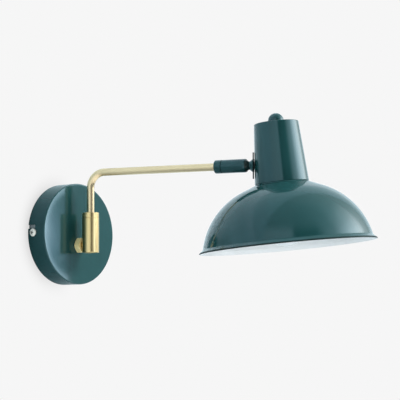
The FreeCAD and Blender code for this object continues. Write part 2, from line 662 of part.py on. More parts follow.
bu, bz, bt = dim("bulb_radius"), dim("bulb_low"), dim("bulb_wall")
lc, ll = dim("lamp_cap_radius"), dim("lamp_cap_low")
k45 = math.sqrt(0.5)
nodes.append(turned("bulb_glass", [
    (0, -bz, (bu, 1)), (bu, bu - bz, (bu, 1)), (bu * k45, bu + bu * k45 - bz), (9.7, -ll - 4.2), (9.0, -ll - 0.1),
    (7.2, -ll - 0.1), (7.6, -ll - 4.4), (bu * k45 - bt, bu + bu * k45 - bz - bt * 0.6, (bu - bt, -1)),
    (bu - bt, bu - bz, (bu - bt, -1)), (0, bt - bz)], AT_HEAD))
nodes.append(turned("bulb_cap", [
    (lc - 0.6, -ll), (lc, -ll), (lc, 0.5), (4.6, 2.0), (3.8, 2.0), (3.8, 1.3), (lc - 0.6, -0.2)], AT_HEAD))
nodes.append(turned("bulb_insulator", [
    (0, 2.1), (4.4, 2.1), (3.2, 3.9), (0, 3.9)], AT_HEAD))
nodes.append(turned("bulb_contact", [
    (0, 4.0), (2.2, 4.0), (2.2, 4.6), (1.4, 5.3), (0, 5.3)], AT_HEAD))

# ---------------------------------------------------------------- test and write
doc.recompute()
for obj in doc.Objects:
    if "Invalid" in obj.State or "Error" in obj.State:
        raise RuntimeError("%s failed: %s" % (obj.Label, obj.State))
for obj in nodes:
    shape = obj.Shape
    if shape.isNull() or not shape.isValid() or not shape.Solids:
        raise RuntimeError("%s has no valid solid" % obj.Label)

os.makedirs("parts", exist_ok=True)
for obj in nodes:
    obj.Shape.exportStep("parts/%s.step" % obj.Label)
    box = obj.Shape.BoundBox
    print("%-18s solids %d volume %10.1f  x %.1f..%.1f y %.1f..%.1f z %.1f..%.1f" % (
        obj.Label, len(obj.Shape.Solids), obj.Shape.Volume,
        box.XMin, box.XMax, box.YMin, box.YMax, box.ZMin, box.ZMax))
print("ball centre", tuple(round(c, 3) for c in ball))
print("neck foot", tuple(round(c, 3) for c in neck_foot), "lean", round(lean_deg, 3))
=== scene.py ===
import math

import bmesh
import bpy
from mathutils import Matrix, Vector


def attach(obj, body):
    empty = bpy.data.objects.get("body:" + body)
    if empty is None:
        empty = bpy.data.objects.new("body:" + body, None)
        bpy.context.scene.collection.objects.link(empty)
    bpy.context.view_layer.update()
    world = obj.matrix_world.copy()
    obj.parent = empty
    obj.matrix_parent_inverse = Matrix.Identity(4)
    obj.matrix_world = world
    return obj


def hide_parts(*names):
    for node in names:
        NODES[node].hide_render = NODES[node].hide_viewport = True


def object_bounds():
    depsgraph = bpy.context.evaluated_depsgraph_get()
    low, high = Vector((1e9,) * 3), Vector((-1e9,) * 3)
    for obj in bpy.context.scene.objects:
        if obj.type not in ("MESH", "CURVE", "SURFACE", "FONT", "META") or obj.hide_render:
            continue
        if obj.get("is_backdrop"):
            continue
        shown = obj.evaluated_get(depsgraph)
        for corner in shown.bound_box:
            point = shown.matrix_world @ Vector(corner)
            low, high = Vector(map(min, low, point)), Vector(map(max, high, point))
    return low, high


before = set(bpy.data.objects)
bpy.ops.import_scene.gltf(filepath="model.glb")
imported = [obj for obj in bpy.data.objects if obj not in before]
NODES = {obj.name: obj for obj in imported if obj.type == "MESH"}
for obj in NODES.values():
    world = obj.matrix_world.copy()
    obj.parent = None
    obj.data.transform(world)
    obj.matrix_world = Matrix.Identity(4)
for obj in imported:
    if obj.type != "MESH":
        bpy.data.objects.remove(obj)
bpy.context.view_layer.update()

SCENE = bpy.context.scene
MM = 0.001


# ------------------------------------------------------------------ colour
def lin(c):
    c = c / 255.0
    return c / 12.92 if c <= 0.04045 else ((c + 0.055) / 1.055) ** 2.4


def rgb(r, g, b):
    return (lin(r), lin(g), lin(b), 1.0)


# ------------------------------------------------------------------ places
def place(origin, zdir, xdir):
    z = Vector(zdir).normalized()
    x = Vector(xdir)
    x = (x - z * x.dot(z)).normalized()
    y = z.cross(x)
    m = Matrix((x, y, z)).transposed().to_4x4()
    m.translation = Vector(origin) * MM
    return m


UP = Vector((0, 0, 1))
ARM_YAW, STUD_YAW = math.radians(16.2), math.radians(36.3)
ARM = Vector((math.sin(ARM_YAW), -math.cos(ARM_YAW), 0))
STUD = Vector((math.sin(STUD_YAW), -math.cos(STUD_YAW), 0))
BALL = Vector((0, -44.0, 72.1)) + ARM * 195.0
NECK_HIGH = 68.9
LEAN = math.radians(5.05)
SKIN = 25.4 + 5.4 * 46.4 / NECK_HIGH
AXIS = UP * math.cos(LEAN) - STUD * math.sin(LEAN)
OUT = STUD * math.cos(LEAN) + UP * math.sin(LEAN)
FOOT = BALL + STUD * 11.5 + OUT * SKIN - AXIS * 22.5

WALL = place((0, 0, 0), (0, -1, 0), (1, 0, 0))
NUT = place((0, -26.0, -13.6), (0, -1, 0), (1, 0, 0))
PIVOT = place((0, -44.0, 0), UP, (1, 0, 0))
PIVOT_ARM = place((0, -44.0, 0), UP, ARM)
AT_ARM = place(BALL, ARM, -UP)
AT_STUD = place(BALL, STUD, -UP)
HEAD = place(FOOT, AXIS, OUT)
TOP = place(FOOT + AXIS * (NECK_HIGH + 0.05), AXIS, OUT)


# ------------------------------------------------------------------ profiles
def arc(cx, cz, radius, a0, a1, n, mat=0):
    return [(cx + radius * math.cos(math.radians(a0 + (a1 - a0) * k / n)),
             cz + radius * math.sin(math.radians(a0 + (a1 - a0) * k / n)), 0.0, mat) for k in range(n + 1)]


def soften(corners):
    """A closed half section: corners are (r, z, rounding, material of the run
    that starts there). Each rounded corner turns into an arc with a guard
    point on either side, which keeps the flats flat."""
    out = []
    n = len(corners)
    for i in range(n):
        r, z, f, mat = corners[i]
        if f <= 0:
            out.append((r, z, mat))
            continue
        p = Vector((r, z))
        a = Vector(corners[i - 1][:2]) - p
        b = Vector(corners[(i + 1) % n][:2]) - p
        ua, ub = a.normalized(), b.normalized()
        half = math.acos(max(-1.0, min(1.0, ua.dot(ub)))) / 2
        t = f / math.tan(half)
        limit = 0.45 * min(a.length, b.length)
        if t > limit:
            t = limit
            f = t * math.tan(half)
        mid = (ua + ub).normalized()
        centre = p + mid * (f / math.sin(half))
        s, e = p + ua * t - centre, p + ub * t - centre
        a0 = math.atan2(s.y, s.x)
        turn = math.atan2(s.x * e.y - s.y * e.x, s.dot(e))
        steps = max(3, int(abs(math.degrees(turn)) / 10) + 1)
        prev = corners[i - 1][3]
        g = p + ua * (t + min(0.25 * f, 0.4 * (a.length - t)))
        out.append((g.x, g.y, prev))
        for k in range(steps + 1):
            w = a0 + turn * k / steps
            out.append((centre.x + f * math.cos(w), centre.y + f * math.sin(w), prev if k < steps / 2 else mat))
        g = p + ub * (t + min(0.25 * f, 0.4 * (b.length - t)))
        out.append((g.x, g.y, mat))
    return out


def finish_piece(name, mesh, mats, body, nodes, angle=32.0):
    for m in mats:
        mesh.materials.append(m)
    mesh.validate()
    mesh.update()
    mesh.shade_smooth()
    mesh.set_sharp_from_angle(angle=math.radians(angle))
    obj = bpy.data.objects.new(name, mesh)
    SCENE.collection.objects.link(obj)
    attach(obj, body)
    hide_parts(*nodes)
    wn = obj.modifiers.new("flat_normals", "WEIGHTED_NORMAL")
    wn.keep_sharp = True
    wn.weight = 60
    return obj


def lathe_mesh(name, m, loop, segs, wave=None):
    """Turns a closed half section about the local z axis. loop points are
    (r, z, material). wave(angle, r, z) may change the radius."""
    bm = bmesh.new()
    uv = bm.loops.layers.uv.new("turn")
    rings, run, runs = [], 0.0, []
    for i, (r, z, mat) in enumerate(loop):
        if i:
            run += math.hypot(r - loop[i - 1][0], z - loop[i - 1][1])
        runs.append(run * MM)
        if r < 1e-5:
            rings.append([bm.verts.new(m @ (Vector((0, 0, z)) * MM))])
        else:
            ring = []
            for k in range(segs):
                w = 2 * math.pi * k / segs
                q = wave(w, r, z) if wave else r
                ring.append(bm.verts.new(m @ (Vector((q * math.cos(w), q * math.sin(w), z)) * MM)))
            rings.append(ring)
    n = len(loop)
    for i in range(n):
        a, b = rings[i], rings[(i + 1) % n]
        if len(a) == 1 and len(b) == 1:
            continue
        sa, sb = runs[i], runs[(i + 1) % n] if i < n - 1 else runs[i] + 1e-3
        for k in range(segs):
            k2 = (k + 1) % segs
            u0, u1 = k / segs, (k + 1) / segs
            if len(a) == 1:
                vs, cs = (a[0], b[k2], b[k]), ((u0, sa), (u1, sb), (u0, sb))
            elif len(b) == 1:
                vs, cs = (a[k], a[k2], b[0]), ((u0, sa), (u1, sa), (u0, sb))
            else:
                vs, cs = (a[k], a[k2], b[k2], b[k]), ((u0, sa), (u1, sa), (u1, sb), (u0, sb))
            f = bm.faces.new(vs)
            f.material_index = loop[i][2]
            for lp, c in zip(f.loops, cs):
                lp[uv].uv = c
    bmesh.ops.recalc_face_normals(bm, faces=bm.faces)
    mesh = bpy.data.meshes.new(name)
    bm.to_mesh(mesh)
    bm.free()
    return mesh


def sweep_mesh(name, m, path, outer, inner, segs):
    """A round tube along points (x, z) in the local x-z plane."""
    pts = [Vector((x, 0, z)) for x, z in path]
    bm = bmesh.new()
    uv = bm.loops.layers.uv.new("turn")
    side = Vector((0, 1, 0))
    rows, run = [], 0.0
    for i, p in enumerate(pts):
        if i:
            run += (p - pts[i - 1]).length
        a = (p - pts[i - 1]).normalized() if i else (pts[1] - p).normalized()
        b = (pts[i + 1] - p).normalized() if i < len(pts) - 1 else a
        d = (a + b).normalized()
        nrm = side.cross(d)
        rows.append((p, nrm, run * MM))

    def ring(row, radius):
        p, nrm, _ = row
        return [bm.verts.new(m @ ((p + nrm * (radius * math.cos(2 * math.pi * k / segs))
                                   + side * (radius * math.sin(2 * math.pi * k / segs))) * MM)) for k in range(segs)]

    # the outer skin, then the bore
    seq = []
    for row in rows:
        seq.append((ring(row, outer), row[2]))
    for row in reversed(rows):
        seq.append((ring(row, inner), row[2]))
    n = len(seq)
    for i in range(n):
        a, sa = seq[i]
        b, sb = seq[(i + 1) % n]
        for k in range(segs):
            k2 = (k + 1) % segs
            f = bm.faces.new((a[k], a[k2], b[k2], b[k]))
            for lp, c in zip(f.loops, ((k / segs, sa), ((k + 1) / segs, sa), ((k + 1) / segs, sb), (k / segs, sb))):
                lp[uv].uv = c
    bmesh.ops.recalc_face_normals(bm, faces=bm.faces)
    mesh = bpy.data.meshes.new(name)
    bm.to_mesh(mesh)
    bm.free()
    return mesh


def prism_mesh(name, m, outline, z0, z1):
    """A closed prism over an outline of (x, y) points."""
    bm = bmesh.new()
    low = [bm.verts.new(m @ (Vector((x, y, z0)) * MM)) for x, y in outline]
    high = [bm.verts.new(m @ (Vector((x, y, z1)) * MM)) for x, y in outline]
    bm.faces.new(low)
    bm.faces.new(list(reversed(high)))
    n = len(outline)
    for k in range(n):
        bm.faces.new((low[k], high[k], high[(k + 1) % n], low[(k + 1) % n]))
    bmesh.ops.recalc_face_normals(bm, faces=bm.faces)
    mesh = bpy.data.meshes.new(name)
    bm.to_mesh(mesh)
    bm.free()
    return mesh


def cut(mesh, cutters):
    """The mesh less the cutters, as a new mesh."""
    obj = bpy.data.objects.new("work", mesh)
    SCENE.collection.objects.link(obj)
    tools = []
    for c in cutters:
        t = bpy.data.objects.new("tool", c)
        SCENE.collection.objects.link(t)
        tools.append(t)
        b = obj.modifiers.new("cut", "BOOLEAN")
        b.operation = "DIFFERENCE"
        b.solver = "EXACT"
        b.object = t
    dg = bpy.context.evaluated_depsgraph_get()
    done = bpy.data.meshes.new_from_object(obj.evaluated_get(dg))
    for o in tools + [obj]:
        bpy.data.objects.remove(o)
    done.materials.clear()
    return done


def circle(x, y, radius, n=48):
    return [(x + radius * math.cos(2 * math.pi * k / n), y + radius * math.sin(2 * math.pi * k / n)) for k in range(n)]


# ------------------------------------------------------------------ materials
def new_material(name):
    m = bpy.data.materials.new(name)
    m.use_nodes = True
    nt = m.node_tree
    return m, nt, nt.nodes["Principled BSDF"]


def node(nt, kind, **props):
    n = nt.nodes.new(kind)
    for k, v in props.items():
        setattr(n, k, v)
    return n


def coords(nt, scale, kind="Object"):
    """Object coordinates stretched by scale."""
    tc = node(nt, "ShaderNodeTexCoord")
    mp = node(nt, "ShaderNodeMapping")
    mp.inputs["Scale"].default_value = scale
    nt.links.new(tc.outputs[kind], mp.inputs["Vector"])
    return mp.outputs["Vector"]


def noise(nt, vec, scale, detail=3.0, rough=0.5):
    n = node(nt, "ShaderNodeTexNoise")
    n.inputs["Scale"].default_value = scale
    n.inputs["Detail"].default_value = detail
    n.inputs["Roughness"].default_value = rough
    nt.links.new(vec, n.inputs["Vector"])
    return n.outputs["Fac"]


def ramp(nt, fac, stops):
    r = node(nt, "ShaderNodeValToRGB")
    el = r.color_ramp.elements
    while len(el) < len(stops):
        el.new(0.5)
    for e, (pos, col) in zip(el, stops):
        e.position = pos
        e.color = col
    nt.links.new(fac, r.inputs["Fac"])
    return r.outputs["Color"]


def spread(nt, fac, low, high, a=0.3, b=0.7):
    n = node(nt, "ShaderNodeMapRange")
    n.inputs["From Min"].default_value = a
    n.inputs["From Max"].default_value = b
    n.inputs["To Min"].default_value = low
    n.inputs["To Max"].default_value = high
    nt.links.new(fac, n.inputs["Value"])
    return n.outputs["Result"]


def bump(nt, bsdf, height, strength, distance, onto=None):
    n = node(nt, "ShaderNodeBump")
    n.inputs["Strength"].default_value = strength
    n.inputs["Distance"].default_value = distance
    nt.links.new(height, n.inputs["Height"])
    if onto is not None:
        nt.links.new(onto, n.inputs["Normal"])
    nt.links.new(n.outputs["Normal"], bsdf.inputs["Normal"])
    return n.outputs["Normal"]


def lacquer(name, deep, light, rough):
    """Sprayed gloss lacquer: slight orange peel, clouding of the tone, gloss
    that varies a little."""
    m, nt, b = new_material(name)
    v = coords(nt, (1, 1, 1))
    cloud = noise(nt, v, 26.0, 4.0, 0.55)
    nt.links.new(ramp(nt, cloud, [(0.30, deep), (0.70, light)]), b.inputs["Base Color"])
    fine = noise(nt, v, 210.0, 3.0, 0.6)
    nt.links.new(spread(nt, fine, rough * 0.88, rough * 1.14), b.inputs["Roughness"])
    peel = noise(nt, v, 620.0, 1.5, 0.45)
    bump(nt, b, peel, 0.010, 0.0004)
    b.inputs["IOR"].default_value = 1.55
    b.inputs["Specular Tint"].default_value = (0.62, 0.86, 1.0, 1)
    return m


def brushed(name, deep, light, rough, stretch, kind="Object", scale=1.0, strength=0.004, metallic=1.0):
    """Satin metal with fine brushing: the pattern is long where stretch is
    small and fine where it is large."""
    m, nt, b = new_material(name)
    v = coords(nt, stretch, kind)
    lines = noise(nt, v, 1.0 * scale, 2.0, 0.6)
    tone = noise(nt, coords(nt, (1, 1, 1)), 34.0, 3.0, 0.5)
    mix = node(nt, "ShaderNodeMix", data_type="RGBA", blend_type="MULTIPLY")
    mix.inputs["Factor"].default_value = 1.0
    nt.links.new(ramp(nt, lines, [(0.25, deep), (0.75, light)]), mix.inputs["A"])
    nt.links.new(ramp(nt, tone, [(0.3, (0.96, 0.955, 0.94, 1)), (0.7, (1, 1, 1, 1))]), mix.inputs["B"])
    nt.links.new(mix.outputs["Result"], b.inputs["Base Color"])
    nt.links.new(spread(nt, lines, rough * 0.92, rough * 1.1), b.inputs["Roughness"])
    bump(nt, b, lines, strength, 0.0002)
    b.inputs["Metallic"].default_value = metallic
    return m


def moulded(name, deep, light, rough, grain=900.0, strength=0.05, spec=0.5, sss=0.0):
    """Moulded plastic, rubber or enamel: fine grain and a little clouding."""
    m, nt, b = new_material(name)
    v = coords(nt, (1, 1, 1))
    cloud = noise(nt, v, 40.0, 3.0, 0.5)
    nt.links.new(ramp(nt, cloud, [(0.3, deep), (0.7, light)]), b.inputs["Base Color"])
    g = noise(nt, v, grain, 2.0, 0.5)
    nt.links.new(spread(nt, g, rough * 0.88, rough * 1.12), b.inputs["Roughness"])
    bump(nt, b, g, strength, 0.0003)
    b.inputs["Specular IOR Level"].default_value = spec
    if sss:
        b.inputs["Subsurface Weight"].default_value = sss
        b.inputs["Subsurface Radius"].default_value = (1.0, 0.9, 0.8)
        b.inputs["Subsurface Scale"].default_value = 0.002
    return m


GREEN = lacquer("petrol_lacquer", (0.0094, 0.0462, 0.0470, 1), (0.0108, 0.0520, 0.0530, 1), 0.11)
PRIMER = moulded("grey_primer", rgb(118, 126, 126), rgb(134, 141, 140), 0.55, 1200.0, 0.08)
WHITE = moulded("white_enamel", rgb(228, 230, 231), rgb(234, 236, 237), 0.34, 800.0, 0.04)
BRASS_TURNED = brushed("satin_brass_turned", (0.71, 0.55, 0.27, 1), (0.75, 0.585, 0.30, 1), 0.30, (60, 60, 2600), strength=0.002)
BRASS_TUBE = brushed("satin_brass_drawn", (0.755, 0.60, 0.375, 1), (0.795, 0.64, 0.41, 1), 0.32, (240, 14, 1), "UV", strength=0.002)
# painted light: a lighter, mostly diffuse copy of the brass for the nut, which stands in for the light falling on it
BRASS_NUT_LIGHTENED = brushed("satin_brass_lightened_nut", (0.86, 0.72, 0.36, 1), (0.92, 0.78, 0.40, 1), 0.30, (420, 1900, 420), strength=0.002, metallic=0.1)
NICKEL = brushed("nickel_screw", rgb(238, 235, 226), rgb(247, 244, 236), 0.28, (260, 900, 900), metallic=0.2)
# dark steel for the ball; also used as painted shade in the cross recesses of the screw heads
DARK_STEEL_AND_RECESS_SHADE = brushed("dark_ball_steel_and_recess_shade", (0.007, 0.023, 0.021, 1), (0.009, 0.028, 0.026, 1), 0.36, (300, 300, 900), metallic=0.0)
# painted shade: a dark, weakly reflecting finish that stands in for the shade and dark reflection on the lip's edge and
# on the fixing plate
PAINTED_SHADE_FINISH = brushed("painted_shade_finish", (0.004, 0.017, 0.017, 1), (0.005, 0.020, 0.020, 1), 0.5, (400, 400, 400), metallic=0.0)
PAINTED_SHADE_FINISH.node_tree.nodes["Principled BSDF"].inputs["Specular IOR Level"].default_value = 0.15
DARK_NYLON = moulded("dark_nylon", rgb(38, 46, 45), rgb(46, 55, 54), 0.55, 1200.0, 0.08)
FIBRE = moulded("fibre_washer", rgb(34, 42, 41), rgb(44, 53, 52), 0.6, 1400.0, 0.1)
ZINC = brushed("zinc_plate", rgb(150, 154, 156), rgb(190, 194, 196), 0.42, (180, 180, 180), strength=0.08)
CONTACT = brushed("contact_brass", (0.58, 0.45, 0.2, 1), (0.70, 0.55, 0.26, 1), 0.3, (300, 300, 2200))
NYLON = moulded("nylon", rgb(214, 210, 198), rgb(226, 222, 210), 0.45)
PLASTIC = moulded("white_plastic", rgb(226, 226, 222), rgb(236, 236, 232), 0.36, 700.0, 0.05)
HOLDER = moulded("holder_plastic", rgb(222, 221, 216), rgb(233, 232, 227), 0.34, 650.0, 0.06)
SHEATH = moulded("flex_sheath", rgb(196, 196, 192), rgb(210, 210, 206), 0.5, 1100.0, 0.1)
OPAL = moulded("opal_glass", rgb(233, 236, 239), rgb(239, 241, 243), 0.16, 300.0, 0.01, 0.5, 0.35)

CAD_LOOKS = {
    "wall_bracket": ZINC, "terminal_block": PLASTIC, "terminal_screws": NICKEL, "earth_screw": CONTACT,
    "threaded_nipple": CONTACT, "lock_washer": ZINC, "nipple_locknut": CONTACT, "sleeve_base_plug": BRASS_TURNED,
    "lower_bush": NYLON, "friction_washer": NYLON, "wave_spring": ZINC, "upper_bush": NYLON, "canopy_flex": SHEATH,
    "arm_collar": CONTACT, "arm_flex": SHEATH, "swivel_retainer": ZINC, "ball_seat": NYLON, "disc_springs": ZINC,
    "thrust_washer": ZINC, "stud_washer": ZINC, "stud_nut": CONTACT, "stud_bush": DARK_NYLON, "hanger_rod": CONTACT,
    "rod_locknut": CONTACT, "head_flex": SHEATH, "lampholder_body": HOLDER, "lampholder_cap": HOLDER,
    "holder_thread": CONTACT, "holder_contact": CONTACT, "bulb_cap": ZINC, "bulb_insulator": HOLDER,
    "bulb_contact": CONTACT,
}


# ------------------------------------------------------------------ wall plate
shell = [(60.0, 0.0, 0.3, 0), (60.0, 23.6, 0, 0)] + arc(58.6, 24.6, 1.4, 0, 90, 12)
shell += [(58.0, 26.0, 0, 0), (0.0, 26.0, 0, 1), (0.0, 24.8, 0, 1), (58.6, 24.8, 0.2, 1), (58.8, 24.6, 0, 1), (58.8, 0.0, 0.3, 1)]
plate = lathe_mesh("canopy_shell", WALL, soften(shell), 288)


def key_slot(side):
    """The outline of a bent key slot as (up, out from the wall)."""
    rise, deep, w = 7.0 * side, 9.0, 2.3
    pts = [(rise - w * side, -2.0), (rise + w * side, -2.0), (rise + w * side, deep + w - 0.8)]
    pts += [(rise + (w - 0.8 + 0.8 * math.cos(t)) * side, deep + w - 0.8 + 0.8 * math.sin(t))
            for t in [math.radians(a) for a in (15, 30, 45, 60, 75, 90)]]
    pts += [(-w * math.sin(math.radians(a)) * side, deep + w * math.cos(math.radians(a))) for a in range(0, 181, 12)]
    pts += [(rise - w * side - 0.5 * side, deep - w), (rise - w * side, deep - w - 0.5)]
    return pts


flip = Matrix(((0, 0, 1, 0), (0, -1, 0, 0), (1, 0, 0, 0), (0, 0, 0, 1)))   # (up, out, right) to the row frame
plate = cut(plate, [
    prism_mesh("tool_a", flip, key_slot(1), -66.0, -50.0),
    prism_mesh("tool_b", flip, key_slot(-1), 50.0, 66.0),
    prism_mesh("tool_c", WALL, circle(0, -13.6, 5.2), 20.0, 30.0)])
finish_piece("canopy_shell", plate, [GREEN, PRIMER], "wall_base", ["canopy"], 30.0)


def pan_screw(name, m):
    """A cross-head screw: low crowned head, thread on the shank."""
    crown = [(4.6 * math.cos(math.radians(a)), 0.95 + 1.95 * math.sin(math.radians(a)), 0, 0) for a in range(0, 85, 7)]
    thread = []
    z = -8.5
    while z < -0.9:
        thread += [(1.55, z, 0, 0), (2.0, z + 0.3, 0, 0), (2.0, z + 0.4, 0, 0)]
        z += 0.7
    loop = soften([(0, -8.5, 0, 0)] + thread + [(1.8, -0.1, 0, 0), (1.8, 0.0, 0, 0), (4.45, 0.0, 0.1, 0),
                                                (4.6, 0.3, 0, 0)] + crown + [(0, 2.9, 0, 0)])
    body = lathe_mesh(name, m, loop, 72)
    w, l = 0.62, 2.7
    cross = [(w, l), (-w, l), (-w, w), (-l, w), (-l, -w), (-w, -w), (-w, -l), (w, -l), (w, -w), (l, -w), (l, w), (w, w)]
    tool = prism_mesh("tool", m, cross, 1.2, 4.0)
    for v in tool.vertices:      # the recess narrows towards its floor
        q = m.inverted() @ v.co
        if q.z < 2.0 * MM:
            v.co = m @ Vector((q.x * 0.72, q.y * 0.72, q.z))
    done = cut(body, [tool])
    for poly in done.polygons:      # painted shade: the recess faces take the dark material, which stands in for the shade in the recess
        q = m.inverted() @ poly.center
        n = m.inverted().to_3x3() @ poly.normal
        if math.hypot(q.x, q.y) < 2.8 * MM and q.z > 1.0 * MM and (q.z < 1.3 * MM or abs(n.z) < 0.55):
            poly.material_index = 1
    return done


screws = bmesh.new()
for side in (-1, 1):
    part = pan_screw("screw", place((side * 60.1, -9.0, 0), (side, 0, 0), (0, math.cos(0.4), math.sin(0.4))))
    screws.from_mesh(part)
mesh = bpy.data.meshes.new("side_screws")
screws.to_mesh(mesh)
screws.free()
finish_piece("side_screws", mesh, [NICKEL, DARK_STEEL_AND_RECESS_SHADE], "wall_base", ["canopy_screws"], 35.0)


# ------------------------------------------------------------------ nut
def hexed(flats, soft=0.35):
    def radius(w, r, z):
        if r < 7.0:
            return r
        q = (w + math.pi / 6) % (math.pi / 3) - math.pi / 6      # corner at 0, flat middle at 30 degrees
        edge = flats / 2 / math.cos(math.pi / 6 - abs(q))
        return min(edge, flats / math.sqrt(3) - soft * 0.5)
    return radius


def nut_mesh(name, m, flats, high, bore):
    """A hexagon nut, both faces chamfered to a circle."""
    bm = bmesh.new()
    uv = bm.loops.layers.uv.new("turn")
    segs = 144
    tip = flats * 0.5 * 0.965
    rings = []

    def ring(fn):
        row = []
        for k in range(segs):
            w = 2 * math.pi * k / segs
            r, z = fn(w)
            row.append(bm.verts.new(m @ (Vector((r * math.cos(w), r * math.sin(w), z)) * MM)))
        rings.append(row)

    shape = hexed(flats)

    def rim(w):
        return shape(w, flats, 0)

    fall = math.tan(math.radians(30))
    ring(lambda w: (bore, 0.5))
    ring(lambda w: (bore + 0.5, 0.0))
    ring(lambda w: (tip - 0.3, 0.0))
    ring(lambda w: (tip, 0.04))
    ring(lambda w: (rim(w) - 0.12, max(0.04, (rim(w) - tip) * fall)))
    ring(lambda w: (rim(w), max(0.16, (rim(w) - tip) * fall + 0.12)))
    ring(lambda w: (rim(w), high * 0.5))
    ring(lambda w: (rim(w), high - max(0.16, (rim(w) - tip) * fall + 0.12)))
    ring(lambda w: (rim(w) - 0.12, high - max(0.04, (rim(w) - tip) * fall)))
    ring(lambda w: (tip, high - 0.04))
    ring(lambda w: (tip - 0.3, high))
    ring(lambda w: (bore + 0.5, high))
    ring(lambda w: (bore, high - 0.5))
    n = len(rings)
    for i in range(n):
        a, b = rings[i], rings[(i + 1) % n]
        for k in range(segs):
            k2 = (k + 1) % segs
            f = bm.faces.new((a[k], a[k2], b[k2], b[k]))
            for lp, c in zip(f.loops, ((k / segs, i / n), ((k + 1) / segs, i / n), ((k + 1) / segs, (i + 1) / n),
                                       (k / segs, (i + 1) / n))):
                lp[uv].uv = c
    bmesh.ops.recalc_face_normals(bm, faces=bm.faces)
    mesh = bpy.data.meshes.new(name)
    bm.to_mesh(mesh)
    bm.free()
    return mesh


finish_piece("lock_nut", nut_mesh("lock_nut", NUT, 17.0, 7.5, 5.05), [BRASS_NUT_LIGHTENED], "wall_base", ["hex_nut"], 24.0)


# ------------------------------------------------------------------ upright pivot
sleeve = lathe_mesh("pivot_sleeve_skin", PIVOT, soften([
    (6.6, -22.8, 0.2, 0), (10.0, -22.8, 0.55, 0), (10.0, 18.2, 0.4, 0), (8.5, 18.2, 0, 0), (8.5, 22.0, 0.2, 0),
    (6.6, 22.0, 0.2, 0), (6.6, -4.0, 0, 0), (5.6, -4.0, 0, 0), (5.6, -19.3, 0, 0), (6.6, -19.3, 0, 0)]), 160)
sleeve = cut(sleeve, [prism_mesh("tool", WALL, circle(0, -13.6, 5.05), 30.0, 40.0)])
finish_piece("pivot_sleeve_skin", sleeve, [BRASS_TURNED], "wall_base", ["pivot_sleeve"])
finish_piece("pivot_cap", lathe_mesh("pivot_cap", PIVOT, soften([
    (8.55, 18.25, 0, 0), (10.0, 18.25, 0.4, 0), (10.0, 24.4, 0.6, 0), (4.7, 24.4, 0.4, 0), (4.7, 22.2, 0, 0),
    (8.55, 22.2, 0, 0)]), 160), [BRASS_TURNED], "wall_base", ["sleeve_cap"])


# ------------------------------------------------------------------ bent arm
path = [(0.0, -5.0), (0.0, -4.6), (0.0, 20.0), (0.0, 40.0), (0.0, 53.6)]
path += [(18.0 - 18.0 * math.cos(math.radians(a)), 54.1 + 18.0 * math.sin(math.radians(a))) for a in
         [90.0 * k / 48 for k in range(49)]]
path += [(18.5, 72.1), (60.0, 72.1), (110.0, 72.1), (150.0, 72.1), (165.4, 72.1), (165.8, 72.1)]
finish_piece("bent_tube", sweep_mesh("bent_tube", PIVOT_ARM, path, 4.4, 3.4, 96), [BRASS_TUBE], "arm", ["arm_tube"],
             40.0)

finish_piece("swivel_end_cap", lathe_mesh("swivel_end_cap", AT_ARM, soften([
    (4.43, -35.7, 0.25, 0), (7.75, -35.7, 2.9, 0), (7.75, -27.2, 0.35, 0), (5.5, -27.2, 0, 0), (5.5, -18.0, 0.3, 0),
    (4.2, -18.0, 0, 0), (4.2, -14.2, 0.2, 0), (3.2, -14.2, 0, 0), (3.2, -29.0, 0, 0), (4.43, -29.0, 0, 0)]), 128),
    [GREEN], "arm", ["joint_end_cap"])

# ------------------------------------------------------------------ ball swivel
MOUTH, SOCKET, BALL_R = 2.2, 7.05, 6.95
lip_angle = math.degrees(math.asin(MOUTH / 7.75))
inner_angle = math.degrees(math.asin(MOUTH / SOCKET))
housing = [(5.57, -26.5, 0, 0), (7.75, -26.5, 0.35, 0), (7.75, -6.0, 0, 0)]
housing += arc(0, 0, 7.75, 0, lip_angle - 1.6, 8)
housing += [(7.75 * math.cos(math.radians(lip_angle)) - 0.08, MOUTH, 0, 0),
            (SOCKET * math.cos(math.radians(inner_angle)) + 0.12, MOUTH, 0, 0)]
housing += arc(0, 0, SOCKET, inner_angle - 1.5, 0, 6)
housing += [(SOCKET, -18.3, 0, 0), (5.57, -18.3, 0, 0)]
finish_piece("swivel_housing", lathe_mesh("swivel_housing", AT_ARM, soften(housing), 128), [GREEN], "swivel",
             ["joint_housing"], 34.0)

back = math.degrees(math.acos(1.5 / BALL_R))
front = math.degrees(math.acos(4.85 / BALL_R))
stud = arc(0, 0, BALL_R, -back, front, 28, 1)
stud += [(4.8, 5.25, 0, 0), (4.8, 6.0, 0.8, 0), (7.1, 8.85, 0.3, 0), (7.4, 9.1, 0, 0), (7.4, 9.3, 0, 0), (2.6, 9.3, 0, 0),
         (2.6, 20.3, 0, 0), (2.4, 20.5, 0, 0), (1.5, 20.5, 0, 0)]
finish_piece("ball_stud_skin", lathe_mesh("ball_stud_skin", AT_STUD, soften(stud), 96), [GREEN, DARK_STEEL_AND_RECESS_SHADE], "stud", ["ball_stud"],
             34.0)


